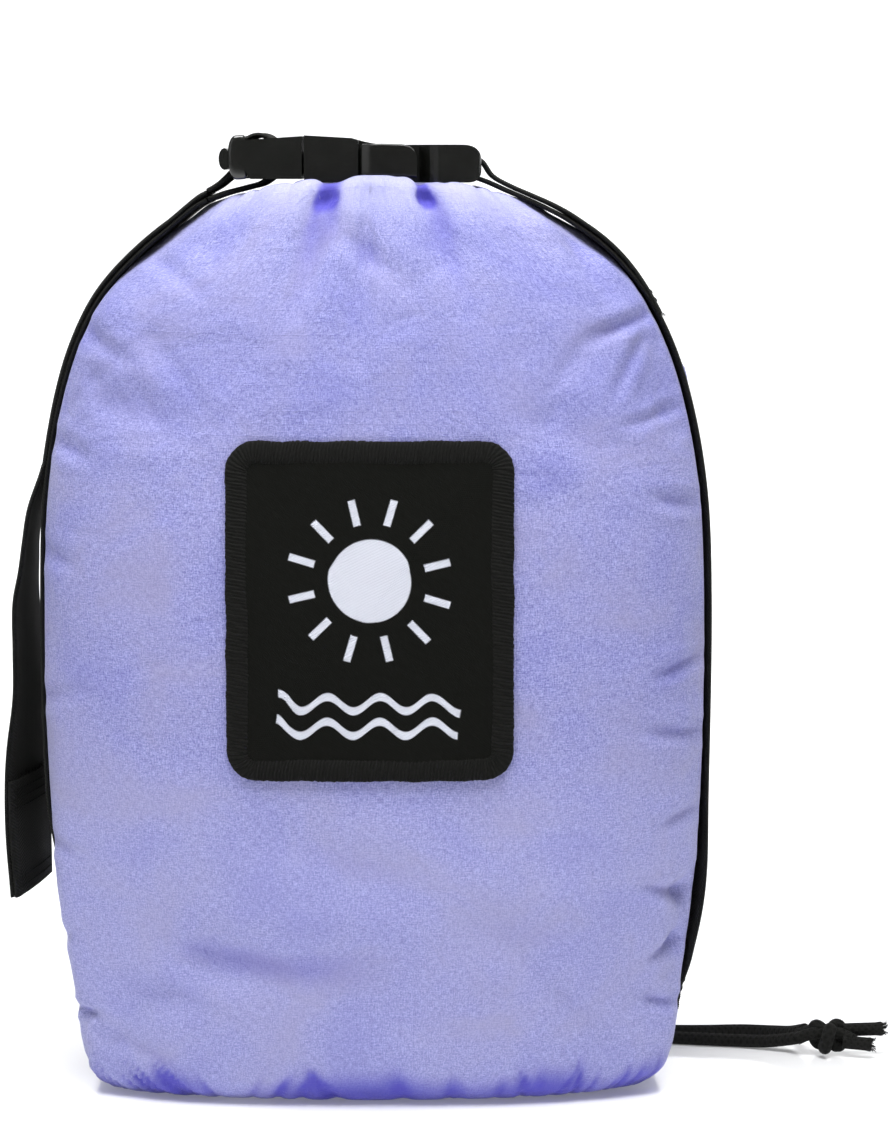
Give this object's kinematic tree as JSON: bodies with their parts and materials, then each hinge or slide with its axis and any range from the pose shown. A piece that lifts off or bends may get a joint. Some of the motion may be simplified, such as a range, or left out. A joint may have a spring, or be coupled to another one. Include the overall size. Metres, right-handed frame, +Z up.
{
  "type": "drawstring backpack",
  "caption": "Soft upright cloth sack with a gathered drawstring mouth, a webbing carrying strap that buckles over the top, and a stitched label patch.",
  "frame": {"origin": "middle of the base panel's underside, on the surface that the bag stands on", "axes": "+Z up through the mouth, +X across the bag from the strap's free end towards its fixed end, +Y from the front with the patch to the back with the drawstring"},
  "size_m": [0.3415, 0.1525, 0.3582],
  "materials": {
    "cloth": "lilac ripstop nylon with a soft sheen",
    "patch": "black woven twill with an overcast edge",
    "webbing": "black ribbed nylon webbing",
    "cord": "black braided polyester cord",
    "buckle_plastic": "satin black moulded acetal",
    "spring_steel": "drawn spring wire",
    "eyelet": "black enamelled brass"
  },
  "bodies": {
    "bag": {"front_panel": "cloth", "back_panel": "cloth", "base_panel": "cloth", "hem_front": "cloth", "hem_back": "cloth", "eyelet_left": "eyelet", "eyelet_right": "eyelet", "drawstring_in_hem": "cord", "cord_strand_left": "cord", "cord_strand_right": "cord", "cord_knot": "cord", "cord_end_front": "cord", "cord_end_back": "cord", "label_patch": "patch", "patch_border": "patch", "strap_right": "webbing", "strap_left": "webbing", "strap_adjuster_loop": "webbing", "strap_tail_on_shoulder": "webbing", "buckle_socket": "buckle_plastic"},
    "plug": {"buckle_plug": "buckle_plastic"},
    "prong_front": {"buckle_prong_front": "buckle_plastic"},
    "prong_back": {"buckle_prong_back": "buckle_plastic"},
    "cord_lock": {"cord_lock_barrel": "buckle_plastic", "cord_lock_spring": "spring_steel"},
    "cord_lock_button": {"cord_lock_button": "buckle_plastic"},
    "free_end": {"strap_tail": "webbing"}
  },
  "joints": [
    {"name": "plug_release", "type": "slide", "parent": "bag", "child": "plug", "axis": [-1, 0, 0], "range_m": [0, 0.042], "deforming": ["strap_adjuster_loop", "buckle_prong_front", "buckle_prong_back"]},
    {"name": "prong_front_press", "type": "hinge", "parent": "plug", "child": "prong_front", "pos_m": [-0.0276, -0.019, 0.3469], "axis": [0, 0, 1], "range_deg": [0, 8], "stiffness_Nm_per_rad": 0.5},
    {"name": "prong_back_press", "type": "hinge", "parent": "plug", "child": "prong_back", "pos_m": [-0.0276, 0.019, 0.3469], "axis": [0, 0, -1], "range_deg": [0, 8], "stiffness_Nm_per_rad": 0.5},
    {"name": "cord_lock_slide", "type": "slide", "parent": "bag", "child": "cord_lock", "axis": [0, 0, -1], "range_m": [0, 0.2]},
    {"name": "cord_lock_press", "type": "slide", "parent": "cord_lock", "child": "cord_lock_button", "axis": [0, -1, 0], "range_m": [0, 0.0042], "stiffness_N_per_m": 400, "deforming": ["cord_lock_spring"]},
    {"name": "free_end_swing", "type": "hinge", "parent": "bag", "child": "free_end", "pos_m": [-0.12357, 0, 0.23617], "axis": [0, 1, 0], "range_deg": [0, 60]}
  ]
}
